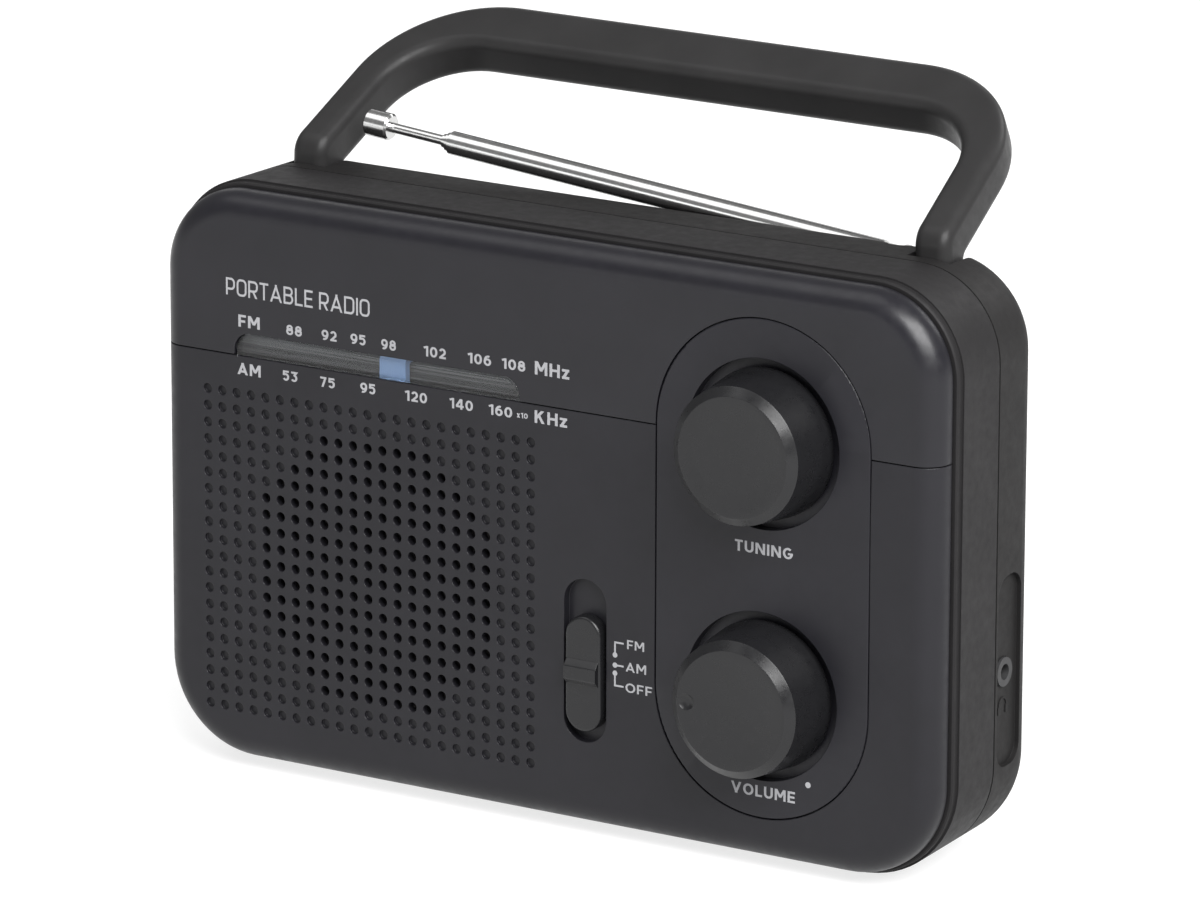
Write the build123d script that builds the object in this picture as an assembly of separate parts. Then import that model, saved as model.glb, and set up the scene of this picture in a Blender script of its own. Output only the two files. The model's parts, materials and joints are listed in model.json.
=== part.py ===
from build123d import *
import os
from math import sin, cos, tan, radians, sqrt, atan2, degrees, pi

os.makedirs("parts", exist_ok=True)

# ---------------------------------------------------------------- driving dimensions (mm)
# x right, y towards the rear, z up.  Feet stand on z = 0, grille face at y = Y_FRONT.
Y_FRONT = -22.0          # front face of the grille, fascia and control panel
Y_RIM = -14.6            # seat of the fascia on the front housing
Y_STEP = -12.4           # end of the bead round the front housing
Y_SEAM = 4.5             # joint between front and rear housings
Y_REAR = 24.0            # flat rear face
CASE_HW, CASE_Z0, CASE_Z1 = 104.4, 1.2, 139.9      # housing outline at the bead
CASE_RT, CASE_RB = 21.4, 24.4                      # top and bottom corner radii
DRAFT = 1.5                                        # degrees
REAR_R = 8.0
WALL = 2.2
FAS_HW, FAS_Z0, FAS_Z1, FAS_RT, FAS_RB = 103.0, 2.6, 138.5, 20.0, 23.0
FAS_EDGE = 6.0                                     # rounding of the fascia's front edge
Z_SPLIT = 100.5                                    # line between upper fascia and grille fascia
PITCH, HOLE_R = 4.0, 1.15                          # grille holes
GX0, GZ0 = -89.96, 91.44                           # first grille hole
PILL_X, PILL_HW, PILL_ZT, PILL_ZB = 58.75, 27.8, 101.2, 40.45
KNOB_X, TUNE_Z, VOL_Z = 58.7, 100.0, 41.4
RECESS_R, RECESS_D = 19.7, 3.0
WIN_X0, WIN_X1, WIN_Z1 = -82.5, -5.0, 105.9        # dial window above the split line
DRUM_R = 18.7                                      # cord radius on the drum
DRUM_Y = -12.0
IDLER_X, IDLER_R = -84.0, 4.0
SW_X, SW_Z0, SW_Z1, SW_W = 12.6, 22.9, 61.5, 11.2  # slide switch slot
SPK_X, SPK_Z = -43.96, 53.44
PIV_Y, PIV_Z, PIV_R = 14.0, 132.5, 1.8             # handle pivot
LEAN = 62.1                                        # handle lean from vertical
HANDLE_EDGE = 2.9
ANT_X, ANT_Y, ANT_Z, ANT_UP = 70.0, 20.6, 135.2, 5.2
JACK_Y, JACK_Z, JACK_R = 10.6, 45.9, 1.85
BAY_X0, BAY_X1, BAY_Z0, BAY_Z1, BAY_Y0 = -15.5, 88.5, 8.0, 61.0, -5.2

# ---------------------------------------------------------------- helpers
def slab(sk, y0, y1):
    return extrude(Plane(origin=(0, y1, 0), x_dir=(1, 0, 0), z_dir=(0, -1, 0)) * sk, amount=y1 - y0)

def xslab(sk, x0, x1):
    return extrude(Plane(origin=(x0, 0, 0), x_dir=(0, 1, 0), z_dir=(1, 0, 0)) * sk, amount=x1 - x0)

def bx(x0, x1, y0, y1, z0, z1):
    return Pos((x0 + x1) / 2, (y0 + y1) / 2, (z0 + z1) / 2) * Box(x1 - x0, y1 - y0, z1 - z0)

def ycyl(x, z, r, y0, y1):
    return slab(Pos(x, z) * Circle(r), y0, y1)

def xcyl(y, z, r, x0, x1):
    return xslab(Pos(y, z) * Circle(r), x0, x1)

def zcyl(x, y, r, z0, z1):
    return Pos(x, y, (z0 + z1) / 2) * Cylinder(r, z1 - z0)

def outline(hw, z0, z1, rt, rb):
    s = Pos(0, (z0 + z1) / 2) * Rectangle(2 * hw, z1 - z0)
    s = fillet(s.vertices().group_by(Axis.Y)[-1], rt)
    s = fillet(s.vertices().group_by(Axis.Y)[0], rb)
    return s

def rrect(x0, x1, z0, z1, r):
    return Pos((x0 + x1) / 2, (z0 + z1) / 2) * RectangleRounded(x1 - x0, z1 - z0, r)

def pill(hw):
    return (Pos(PILL_X, (PILL_ZT + PILL_ZB) / 2) * Rectangle(2 * hw, PILL_ZT - PILL_ZB)
            + Pos(PILL_X, PILL_ZT) * Circle(hw) + Pos(PILL_X, PILL_ZB) * Circle(hw))

def rev(pts, x, z):
    f = make_face(Polyline(*[(r, y) for r, y in pts], close=True))
    return Pos(x, 0, z) * revolve(f, axis=Axis.Y)

def drafted(hw, z0, z1, rt, rb, y0, y1):
    p = Plane(origin=(0, y0, 0), x_dir=(-1, 0, 0), z_dir=(0, 1, 0))
    return extrude(p * outline(hw, z0, z1, rt, rb), amount=y1 - y0, taper=DRAFT)

def solo(s):
    n = s.solids()
    return max(n, key=lambda q: q.volume)

def save(shape, name):
    export_step(shape, "parts/" + name + ".step")
    print(name, len(shape.solids()), round(shape.volume, 1))

BIG = 400.0

# ---------------------------------------------------------------- case envelopes
env = drafted(CASE_HW, CASE_Z0, CASE_Z1, CASE_RT, CASE_RB, Y_STEP, Y_REAR)
env = fillet(env.faces().sort_by(Axis.Y)[-1].edges(), REAR_R)
inn = drafted(CASE_HW - WALL, CASE_Z0 + WALL, CASE_Z1 - WALL, CASE_RT - WALL, CASE_RB - WALL, Y_STEP - 0.2, Y_REAR - WALL)
inn = fillet(inn.faces().sort_by(Axis.Y)[-1].edges(), REAR_R - WALL)
dr = (Y_SEAM - Y_STEP) * tan(radians(DRAFT)) + 0.35
groove = slab(Rectangle(BIG, BIG), Y_SEAM - 0.3, Y_SEAM + 0.3) - slab(
    outline(CASE_HW - dr, CASE_Z0 + dr, CASE_Z1 - dr, CASE_RT - dr, CASE_RB - dr), Y_SEAM - 1, Y_SEAM + 1)

SCREWS = [(-95.5, 22.0), (95.5, 22.0), (-95.5, 112.0), (95.5, 112.0)]

# ---------------------------------------------------------------- front housing ring
bead = slab(outline(103.9, 1.7, 139.4, 20.9, 23.9), Y_RIM + 0.2, Y_STEP)
bead = chamfer(bead.faces().sort_by(Axis.Y)[0].edges(), 0.35)
seat = slab(outline(102.3, 3.3, 137.8, 19.3, 22.3), Y_RIM, Y_RIM + 0.5)
fh = (env & bx(-200, 200, Y_STEP, Y_SEAM, -50, 250)) + bead + seat
fh = fh - inn - slab(outline(97.0, 8.6, 132.5, 14.0, 17.0), -16, -12)
for sx, sz in SCREWS:
    sgn = 1 if sx > 0 else -1
    fh += ycyl(sx, sz, 3.5, Y_RIM + 2.0, Y_SEAM - 0.1)
    fh += bx(min(sx, sgn * 102.2), max(sx, sgn * 102.2), Y_RIM + 2.0, 0.0, sz - 1, sz + 1)
    fh -= ycyl(sx, sz, 1.4, -6.0, Y_SEAM + 1)
fh -= groove
fh = solo(fh)
save(fh, "front_housing")

# ---------------------------------------------------------------- fascia blanks
fas = slab(outline(FAS_HW, FAS_Z0, FAS_Z1, FAS_RT, FAS_RB), Y_FRONT, Y_RIM)
fas = fillet(fas.faces().sort_by(Axis.Y)[0].edges(), FAS_EDGE)
fin = slab(outline(FAS_HW - WALL, FAS_Z0 + WALL, FAS_Z1 - WALL, FAS_RT - WALL, FAS_RB - WALL), Y_FRONT + WALL, Y_RIM + 1)
fin = fillet(fin.faces().sort_by(Axis.Y)[0].edges(), FAS_EDGE - WALL)
fas = fas - fin
rim = slab(Rectangle(BIG, BIG), Y_RIM - 0.5, Y_RIM + 0.5) - slab(
    outline(102.0, 3.6, 137.5, 19.0, 22.0), Y_RIM - 2, Y_RIM + 2)
fas = fas - rim
fas = fas - slab(pill(PILL_HW), -30, 0)

Y_BACK = Y_FRONT + WALL                            # inner face of the fascia

# upper fascia with the dial window and the posts behind it
win = Pos((WIN_X0 + WIN_X1) / 2, (Z_SPLIT - 8 + WIN_Z1) / 2) * RectangleRounded(WIN_X1 - WIN_X0, WIN_Z1 - Z_SPLIT + 8, 4.2)
up = fas & bx(-200, 200, -40, 0, Z_SPLIT + 0.15, 300)
up = up - slab(win, -30, 0)
for px, pz in [(-89.0, 120.5), (26.0, 121.0)]:
    up += ycyl(px, pz, 2.2, Y_BACK, -16.6)
up = solo(up)
save(up, "upper_fascia")

# grille fascia: open field over the loudspeaker, blind dimples elsewhere
field = {2: (8, 15), 3: (7, 16), 4: (6, 17), 5: (5, 18), 14: (5, 18), 15: (6, 17), 16: (7, 16), 17: (8, 15)}
for j in range(6, 14):
    field[j] = (4, 19)
thru, blind = [], []
for j in range(20):
    for i in range(23):
        c = Pos(GX0 + PITCH * i, GZ0 - PITCH * j) * Circle(HOLE_R)
        lo, hi = field.get(j, (99, 0))
        (thru if lo <= i <= hi else blind).append(c)
lo_f = fas & bx(-200, 200, -40, 0, -50, Z_SPLIT - 0.15)
slot = rrect(SW_X - SW_W / 2, SW_X + SW_W / 2, SW_Z0, SW_Z1, SW_W / 2 - 0.01)
lo_f += slab(rrect(SW_X - SW_W / 2 - 1.5, SW_X + SW_W / 2 + 1.5, SW_Z0 - 1.5, SW_Z1 + 1.5, SW_W / 2 + 1.4), Y_BACK - 0.2, -18.6)
lo_f -= slab(slot, -30, -19.8)
lo_f -= slab(rrect(SW_X - 1.7, SW_X + 1.7, 35.6, 48.0, 1.5), -30, -10)
lo_f -= slab(Sketch() + thru, -30, -15)
lo_f -= slab(Sketch() + blind, -30, Y_FRONT + 0.8)
SPK_SCREWS = [(SPK_X + 41.5 * cos(radians(a)), SPK_Z + 41.5 * sin(radians(a))) for a in (45, 135, 225, 315)]
for px, pz in SPK_SCREWS:
    lo_f += ycyl(px, pz, 2.7, Y_BACK, -17.8)
    lo_f -= ycyl(px, pz, 1.2, -19.4, -15)
lo_f = solo(lo_f)
save(lo_f, "grille_fascia")

# ---------------------------------------------------------------- control panel
pan = slab(pill(PILL_HW - 0.25), Y_FRONT, Y_BACK)
pan = fillet(pan.faces().sort_by(Axis.Y)[0].edges(), 0.35)
pan += slab(pill(PILL_HW + 2.0), Y_BACK, -18.6)
for z in (TUNE_Z, VOL_Z):
    pan += ycyl(KNOB_X, z, RECESS_R + 1.8, Y_BACK - 0.1, -17.0)
    pan -= ycyl(KNOB_X, z, RECESS_R, -30, Y_FRONT + RECESS_D)
pan -= ycyl(KNOB_X, TUNE_Z, 4.0, -30, 0)
pan -= ycyl(KNOB_X, VOL_Z, 4.6, -30, 0)
pan = solo(pan)
save(pan, "control_panel")

# ---------------------------------------------------------------- dial
lens = slab(Pos((WIN_X0 + WIN_X1) / 2, (Z_SPLIT - 8 + WIN_Z1) / 2) * RectangleRounded(
    WIN_X1 - WIN_X0 - 0.2, WIN_Z1 - Z_SPLIT + 8 - 0.2, 4.1), -21.7, Y_BACK)
lens = lens & bx(-200, 200, -40, 0, Z_SPLIT, 200)
lens = fillet([e for e in lens.faces().sort_by(Axis.Y)[0].edges() if e.center().Z > Z_SPLIT + 0.2], 0.9)
lens += slab(rrect(-86.0, -1.5, 97.6, 108.2, 1.0), Y_BACK, -19.3)
save(solo(lens), "dial_lens")

back = slab(rrect(-92.0, 30.0, 96.5, 124.0, 2.0), -16.6, -15.4)
back -= ycyl(IDLER_X, 114.7, 1.3, -20, -10)
back -= ycyl(10.0, 103.4, 2.5, -20, -10)
save(solo(back), "dial_backplate")

PX0, PX1 = -44.0, -37.0                            # pointer block
ptr = slab(rrect(PX0, PX1, 98.6, 108.6, 0.5), -19.0, -17.2)
pc = (PX0 + PX1) / 2
ptr += bx(pc - 1.5, pc + 1.5, -18.2, -17.0, 108.0, 125.6)
ptr += bx(pc - 1.5, pc + 1.5, -18.2, -11.0, 124.3, 125.6)
ptr += bx(pc - 3.0, pc + 3.0, -15.1, -14.0, 119.6, 125.6)
ptr += bx(pc - 3.0, pc + 3.0, -15.1, -11.0, 119.5, 120.5)
ptr += bx(pc - 3.0, pc + 3.0, -11.2, -10.2, 117.6, 125.6)
save(solo(ptr), "dial_pointer")

zt = TUNE_Z + DRUM_R                               # upper cord run
IDLER_Z = zt - IDLER_R
d = sqrt((KNOB_X - IDLER_X) ** 2 + (TUNE_Z - IDLER_Z) ** 2)
# lower tangent between the idler and the drum
base = atan2(TUNE_Z - IDLER_Z, KNOB_X - IDLER_X)
off = atan2(DRUM_R - IDLER_R, sqrt(d * d - (DRUM_R - IDLER_R) ** 2))
a_low = base - off                                 # direction of the lower run, left to right
nx_, nz_ = sin(a_low), -cos(a_low)                 # outward normal, below the run
i_low = (IDLER_X + IDLER_R * nx_, IDLER_Z + IDLER_R * nz_)
d_low = (KNOB_X + DRUM_R * nx_, TUNE_Z + DRUM_R * nz_)
W = lambda x, z: (x, DRUM_Y, z)
am = atan2(nz_, nx_)
mid_d = am / 2 + pi / 4                            # middle of the wrap on the drum's right side
mid_i = (am - 3 * pi / 2) / 2 - 0.0
e1 = Line(W(IDLER_X, zt), W(KNOB_X, zt))
e2 = ThreePointArc(W(KNOB_X, zt), W(KNOB_X + DRUM_R * cos(mid_d), TUNE_Z + DRUM_R * sin(mid_d)), W(*d_low))
e3 = Line(W(*d_low), W(*i_low))
e4 = ThreePointArc(W(*i_low), W(IDLER_X + IDLER_R * cos(pi / 2 + (am + 2 * pi - pi / 2) / 2),
                              IDLER_Z + IDLER_R * sin(pi / 2 + (am + 2 * pi - pi / 2) / 2)), W(IDLER_X, zt))
cord = Part()
for e in (e1, e2, e3, e4):
    cord += sweep(Plane(origin=e @ 0, z_dir=e % 0) * Circle(0.4), path=e)
save(cord, "dial_cord")

drum = rev([(3.0, -14.2), (7.0, -14.2), (7.0, -13.6), (19.8, -13.6), (19.8, -12.8), (18.0, -12.6), (18.0, -11.4),
            (19.8, -11.2), (19.8, -10.4), (7.0, -10.4), (7.0, -9.9), (3.0, -9.9)], KNOB_X, TUNE_Z)
for a in range(0, 360, 60):
    drum -= ycyl(KNOB_X + 12.5 * cos(radians(a)), TUNE_Z + 12.5 * sin(radians(a)), 3.6, -20, 0)
save(solo(drum), "cord_drum")

idl = rev([(1.45, -13.6), (5.1, -13.6), (5.1, -12.8), (3.3, -12.6), (3.3, -11.4), (5.1, -11.2), (5.1, -10.4), (1.45, -10.4)],
          IDLER_X, IDLER_Z)
save(solo(idl), "idler_pulley")
ipin = rev([(0, -17.2), (2.4, -17.2), (2.4, -16.6), (1.3, -16.6), (1.3, -15.4), (2.2, -15.4), (2.2, -13.8), (1.38, -13.8), (1.38, -10.1),
            (2.6, -10.1), (2.6, -9.3), (0, -9.3)], IDLER_X, IDLER_Z)
save(solo(ipin), "idler_pin")

# ---------------------------------------------------------------- knobs, shafts and what they drive
def knob(z):
    k = rev([(3.0, -21.0), (5.0, -21.0), (5.0, -32.2), (14.2, -32.2), (15.7, -20.5), (17.4, -20.5), (15.95, -33.7),
             (13.9, -35.3), (0, -35.3), (0, -31.0), (3.0, -31.0)], KNOB_X, z)
    k -= Pos(KNOB_X, -34.3 - 86.7, z) * Sphere(86.7)              # shallow dish in the face
    for a in range(0, 180, 45):
        r = Pos(KNOB_X, -27, z) * Rot(0, a, 0) * Box(29.5, 11.0, 1.2)
        k += r - ycyl(KNOB_X, z, 4.0, -40, 0)
    k = k - ycyl(KNOB_X, z, 12.0, -23.0, -20.0) + rev([(3.0, -21.0), (5.0, -21.0), (5.0, -31.5), (3.0, -31.5)], KNOB_X, z)
    return solo(k)

save(knob(TUNE_Z), "tuning_knob")
vk = knob(VOL_Z)
vk -= Pos(KNOB_X - 11.3, -37.6, VOL_Z + 0.3) * Sphere(3.2)
save(solo(vk), "volume_knob")

def shaft(z, y1):
    return ycyl(KNOB_X, z, 3.0, -31.0, y1)

save(shaft(TUNE_Z, -4.5), "tuning_shaft")
save(shaft(VOL_Z, -9.5), "volume_shaft")

tc = bx(KNOB_X - 10, KNOB_X + 10, -7.5, 3.0, TUNE_Z - 10, TUNE_Z + 10)
tc = fillet(tc.edges().filter_by(Axis.Y), 1.2)
tc += ycyl(KNOB_X, TUNE_Z, 5.0, -9.4, -7.4)
tc -= ycyl(KNOB_X, TUNE_Z, 3.06, -12, -4.3)
save(solo(tc), "tuning_capacitor")

vp = ycyl(KNOB_X, VOL_Z, 8.5, -17.0, -8.0)
vp += ycyl(KNOB_X, VOL_Z, 4.5, -20.1, -16.9)
vp += bx(KNOB_X - 6, KNOB_X + 6, -12.2, -10.8, VOL_Z - 14.0, VOL_Z - 5)
vp -= ycyl(KNOB_X, VOL_Z, 3.06, -22, -9.3)
save(solo(vp), "volume_pot")
nut = slab(Pos(KNOB_X, VOL_Z) * RegularPolygon(6.4, 6), -20.0, -19.0) - ycyl(KNOB_X, VOL_Z, 4.5, -22, -18)
save(solo(nut), "volume_nut")

# ---------------------------------------------------------------- band switch
TH_Z0, TH_Z1, TH_W = 25.6, 52.9, 9.4
thumb = slab(rrect(SW_X - TH_W / 2, SW_X + TH_W / 2, TH_Z0, TH_Z1, TH_W / 2 - 0.01), -23.2, -20.1)
thumb = fillet(thumb.faces().sort_by(Axis.Y)[0].edges(), 0.8)
ridge = xslab(make_face(Polyline((-23.6 + 0.9, 36.2), (-24.6, 38.2), (-24.6, 41.2), (-23.6 + 0.9, 43.2), close=True)),
              SW_X - TH_W / 2 + 0.5, SW_X + TH_W / 2 - 0.5)
ridge = fillet(ridge.edges().filter_by(Axis.X).sort_by(Axis.Y)[:2], 0.6)
thumb += ridge
thumb += bx(SW_X - 1.3, SW_X + 1.3, -20.2, -14.6, 38.2, 41.0)
save(solo(thumb), "band_thumb")
bs = bx(SW_X - 4, SW_X + 4, -18.6, -9.6, 32.0, 52.0)
bs -= bx(SW_X - 1.7, SW_X + 1.7, -19, -14.0, 36.6, 47.0)
bs += bx(SW_X - 7, SW_X + 7, -18.6, -17.6, 30.0, 54.0) - bx(SW_X - 3.9, SW_X + 3.9, -19, -17, 32.1, 51.9)
for k in range(6):
    bs += bx(SW_X - 0.3, SW_X + 0.3, -9.7, -7.4, 33.5 + 3.2 * k, 34.5 + 3.2 * k)
save(solo(bs), "band_switch")

# ---------------------------------------------------------------- loudspeaker
gask = ycyl(SPK_X, SPK_Z, 38.5, Y_BACK, -19.1) - ycyl(SPK_X, SPK_Z, 34.8, -25, -10)
save(solo(gask), "speaker_gasket")
bas = rev([(34.8, -19.1), (38.5, -19.1), (38.5, -17.8), (36.4, -17.8), (34.0, -12.0), (17.5, -3.0), (17.5, -2.0), (5.2, -2.0),
           (5.2, -3.6), (16.4, -3.6), (32.9, -12.6), (34.8, -17.6)], SPK_X, SPK_Z)
for a in range(0, 360, 60):
    bas -= Pos(SPK_X, -7.6, SPK_Z) * Rot(0, a, 0) * Pos(26.0, 0, 0) * Box(11, 14, 11)
save(solo(bas), "speaker_basket")
cone = rev([(34.7, -19.1), (34.7, -18.5), (33.4, -18.2), (32.0, -19.4), (30.4, -18.0), (9.6, -8.2), (9.6, -4.0), (9.1, -4.0),
            (9.1, -8.6), (30.2, -18.8), (32.0, -20.0 + 0.3), (33.4, -18.9), (34.0, -19.1)], SPK_X, SPK_Z)
cap_ = rev([(0, -12.2), (3.5, -11.6), (6.5, -10.4), (9.1, -8.6), (9.1, -8.0), (6.5, -9.8), (3.5, -11.0), (0, -11.6)], SPK_X, SPK_Z)
save(solo(cone + cap_), "speaker_cone")
mag = ycyl(SPK_X, SPK_Z, 22.5, -2.0, 7.0)
mag = chamfer(mag.edges().filter_by(GeomType.CIRCLE), 0.8)
mag += ycyl(SPK_X, SPK_Z, 5.1, -4.4, -1.9)
save(solo(mag), "speaker_magnet")
ss = Part()
for px, pz in SPK_SCREWS:
    ss += rev([(0, -19.3), (1.2, -19.3), (1.2, -17.8), (3.6, -17.8), (3.6, -17.2), (2.4, -16.2), (0, -16.0)], px, pz)
save(ss, "speaker_screws")

# ---------------------------------------------------------------- circuit board
PCB_POSTS = [(10.0, 69.0), (91.2, 69.0), (10.0, 103.4), (91.2, 103.4)]
pcb = slab(rrect(6.0, 95.0, 65.0, 107.4, 1.5), 3.0, 4.6)
for px, pz in PCB_POSTS:
    pcb -= ycyl(px, pz, 1.3, 0, 8)
save(solo(pcb), "main_pcb")
ps = Part()
for px, pz in PCB_POSTS:
    ps += rev([(0, -2.5), (1.0, -2.5), (1.0, 4.6), (2.6, 4.6), (2.6, 5.2), (1.8, 6.1), (0, 6.3)], px, pz)
save(ps, "pcb_screws")
po = Part()
for px, pz in PCB_POSTS:
    po += ycyl(px, pz, 2.3, Y_BACK, 3.0) - ycyl(px, pz, 1.0, -4.0, 4.0)
save(po, "pcb_standoffs")
cans = Part()
for cx in (40.0, 50.0, 60.0, 70.0):
    c = bx(cx - 3.5, cx + 3.5, 4.6, 14.6, 70.5, 77.5)
    c = fillet(c.edges().filter_by(Axis.Y), 0.8) - ycyl(cx, 74.0, 1.6, 13.8, 15)
    cans += c
save(cans, "if_cans")
el = Part()
for cx, cz, r, h in ((18.0, 75.0, 5.0, 11.0), (29.5, 74.0, 4.0, 9.0), (20.0, 96.0, 4.0, 9.0), (82.0, 76.0, 5.0, 11.0)):
    e = ycyl(cx, cz, r, 4.6, 4.6 + h)
    el += chamfer(e.edges().filter_by(GeomType.CIRCLE), 0.5)
save(el, "electrolytics")
save(bx(34, 54, 4.6, 8.0, 88, 95), "radio_chip")

# ---------------------------------------------------------------- ferrite aerial
save(xcyl(11.0, 122.0, 4.0, -75.0, 15.0), "ferrite_rod")
save(xcyl(11.0, 122.0, 5.4, -58.0, -32.0) - xcyl(11.0, 122.0, 4.0, -60.0, -30.0), "ferrite_coil")
fhold = Part()
for x0 in (-71.0, 7.0):
    b = bx(x0, x0 + 4, 5.4, Y_REAR - WALL, 116.0, 128.0) - xcyl(11.0, 122.0, 4.0, x0 - 1, x0 + 5)
    fhold += b
save(fhold, "ferrite_holders")

# ---------------------------------------------------------------- rear housing
rh = (env & bx(-200, 200, Y_SEAM, 60, -50, 250)) - inn
rh += env & bx(-79.0, 79.0, 14.0, 60, 129.4, 250)                 # rear top edge, thick behind the aerial rebate
for s in (-1, 1):
    x0, x1 = sorted((s * 75.4, s * 90.4))
    rh += env & bx(x0, x1, Y_SEAM, 60, 122.5, 250)                # hinge blocks
for sx, sz in SCREWS:
    rh += ycyl(sx, sz, 4.6, Y_SEAM, Y_REAR - 0.5)
rh -= bx(-75.0, 75.2, 17.6, 60, 131.7, 250)                       # rebate for the aerial
rh -= zcyl(ANT_X, ANT_Y, 4.6, 131.7, 250)
rh -= zcyl(ANT_X, ANT_Y, 1.66, 120, 140)
rh -= zcyl(ANT_X, ANT_Y, 2.8, 120, 129.4)
for s in (-1, 1):
    x0, x1 = sorted((s * 77.5, s * 88.4))
    prof = make_face(Polyline((8.6, 132.5), (8.6, 160), (60, 160), (60, 106.1), (14.0, 134.85), close=True))
    rh -= xslab(prof, x0, x1)
    rh -= xslab(Pos(PIV_Y, PIV_Z) * Circle(5.4), x0, x1)
    rh -= xslab((Pos(PIV_Y, PIV_Z) * Circle(7.9)) & (Pos(PIV_Y + 10.0, PIV_Z) * Rectangle(20.0, 40.0)), x0, x1)
    xa, xb = sorted((s * 75.0, s * 90.0))
    rh -= xslab(Pos(PIV_Y, PIV_Z) * Circle(PIV_R), xa, xb)
for sx, sz in SCREWS:
    rh -= ycyl(sx, sz, 1.6, 0, 40)
    rh -= ycyl(sx, sz, 3.6, 12.0, 40)
rh -= bx(BAY_X0, BAY_X1, 15, 40, BAY_Z0, BAY_Z1)                  # battery opening
rh -= xcyl(22.9, 9.4, 0.97, BAY_X0 - 1.8, BAY_X0 + 1)
rh -= xcyl(22.9, 9.4, 0.97, BAY_X1 - 1, BAY_X1 + 1.8)
rh += bx(92.0, 102.0, 7.0, 14.2, 41.8, 42.8)                      # shelf under the headphone socket
pocket = Plane(origin=(102.5, 0, 0), x_dir=(0, 1, 0), z_dir=(1, 0, 0)) * (
    Pos((5.6 + 16.6) / 2, (23.9 + 68.8) / 2) * RectangleRounded(11.0, 44.9, 4.5))
rh += env & bx(101.2, 104, 5.0, 17.2, 23, 70)
rh -= extrude(pocket, amount=6)
rh -= xcyl(JACK_Y, JACK_Z, 3.45, 98, 110)
for k in range(4):                                                 # sound slots in the back
    rh -= slab(rrect(-70.0, -20.0, 40.0 + 7 * k, 42.4 + 7 * k, 1.1), 20, 40)
rh -= groove
rh = solo(rh)
save(rh, "rear_housing")

# ---------------------------------------------------------------- battery compartment
tray = bx(BAY_X0 - 1.5, BAY_X1 + 1.5, BAY_Y0 - 1.5, Y_REAR - WALL, BAY_Z0 - 1.5, BAY_Z1 + 1.5)
tray -= bx(BAY_X0, BAY_X1, BAY_Y0, 40, BAY_Z0, BAY_Z1)
tray += bx(BAY_X0 + 20, BAY_X1 - 20, BAY_Y0 - 0.1, BAY_Y0 + 3.0, 34.0, 35.0)
tray = tray & inn
save(solo(tray), "battery_tray")

plates = Part()
for x0, zc in ((BAY_X0, 48.0), (BAY_X1 - 0.6, 21.0)):
    p = bx(x0, x0 + 0.6, -2.0, 18.0, zc - 8, zc + 8)
    b = 0.6 if x0 < 0 else 0.0
    p += xcyl(8.0, zc, 4.0, x0 + b - (0.9 if b == 0 else 0), x0 + b + (0.9 if b else 0.0))
    plates += p
link = bx(BAY_X0, BAY_X0 + 0.6, -2.0, 18.0, 13.0, 29.0)
plates += link
plates += bx(BAY_X1 - 0.6, BAY_X1, -2.0, 18.0, 40.0, 56.0)
save(plates, "battery_plates")

springs = Part()
for x0, s, zc in ((BAY_X0 + 0.6, 1, 21.0), (BAY_X1 - 0.6, -1, 48.0)):
    h = Helix(pitch=2.3, height=9.2, radius=7.0, cone_angle=-12)
    w = sweep(Plane(origin=h @ 0, z_dir=h % 0) * Circle(0.45), path=h, is_frenet=True)
    w = Rot(0, 90 * s, 0) * Pos(0, 0, 0.5) * w
    springs += Pos(x0, 8.0, zc) * w
save(springs, "battery_springs")

door = slab(rrect(BAY_X0 + 0.3, BAY_X1 - 0.3, BAY_Z0 + 0.4, BAY_Z1 - 0.3, 0.5), 21.9, 23.9)
door -= bx(-100, 100, 21, 25, 0, 9.4)
door += xslab(Pos(22.9, 9.4) * Circle(1.0), BAY_X0 + 0.3, BAY_X1 - 0.3)
door += xslab(Pos(22.9, 9.4) * Circle(0.9), BAY_X0 - 1.5, BAY_X1 + 1.5)
for k in range(5):
    door -= slab(rrect(26.5, 46.5, 50.0 + 1.8 * k, 50.9 + 1.8 * k, 0.4), 23.4, 30)
door += bx(31.5, 41.5, 20.6, 22.4, 58.2, 59.6)
save(solo(door), "battery_door")

# ---------------------------------------------------------------- headphone socket
jk = bx(91.3, 101.0, 7.6, 13.6, 42.8, 49.0)
jk += xcyl(JACK_Y, JACK_Z, 3.4, 100.0, 103.1)
jk -= xcyl(JACK_Y, JACK_Z, JACK_R, 92.1, 110)
save(solo(jk), "headphone_jack")

# ---------------------------------------------------------------- handle
th = radians(LEAN)
hp = Plane(origin=(0, 18.25, 143.5), x_dir=(1, 0, 0), z_dir=(0, -cos(th), sin(th)))
oc = [(-89.1, -30), (-83.6, 49.0), (83.6, 49.0), (89.1, -30)]
ic = [(-80.0, -31), (-75.5, 34.2), (75.5, 34.2), (80.0, -31)]
fo = make_face(Polyline(*oc, close=True))
fo = fillet([v for v in fo.vertices() if v.Y > 40], 31.0)
fi = make_face(Polyline(*ic, close=True))
fi = fillet([v for v in fi.vertices() if v.Y > 30], 19.0)
ff = fo - fi
prism = extrude(hp * ff, amount=40, both=True)
N = (18.25, 143.5)
dv = (sin(th), cos(th))
nv = (-cos(th), sin(th))
T = 5.45
def side(v, o):
    return (N[0] + dv[0] * v + nv[0] * o, N[1] + dv[1] * v + nv[1] * o)
u1 = side(0, T)
zf = u1[1] - (u1[0] - 9.0) * dv[1] / dv[0]
l1 = side(0, -T)
zb = l1[1] - (l1[0] - 19.0) * dv[1] / dv[0]
sp = make_face(Polyline((9.0, PIV_Z), (9.0, zf), side(60, T), side(60, -T), (19.0, zb), (19.0, PIV_Z), close=True))
sp = fillet([v for v in sp.vertices() if abs(v.X - 9.0) < 0.01 and v.Y > 140], 6.0)
sp = fillet([v for v in sp.vertices() if abs(v.X - 19.0) < 0.01 and v.Y > 134], 1.5)
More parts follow.
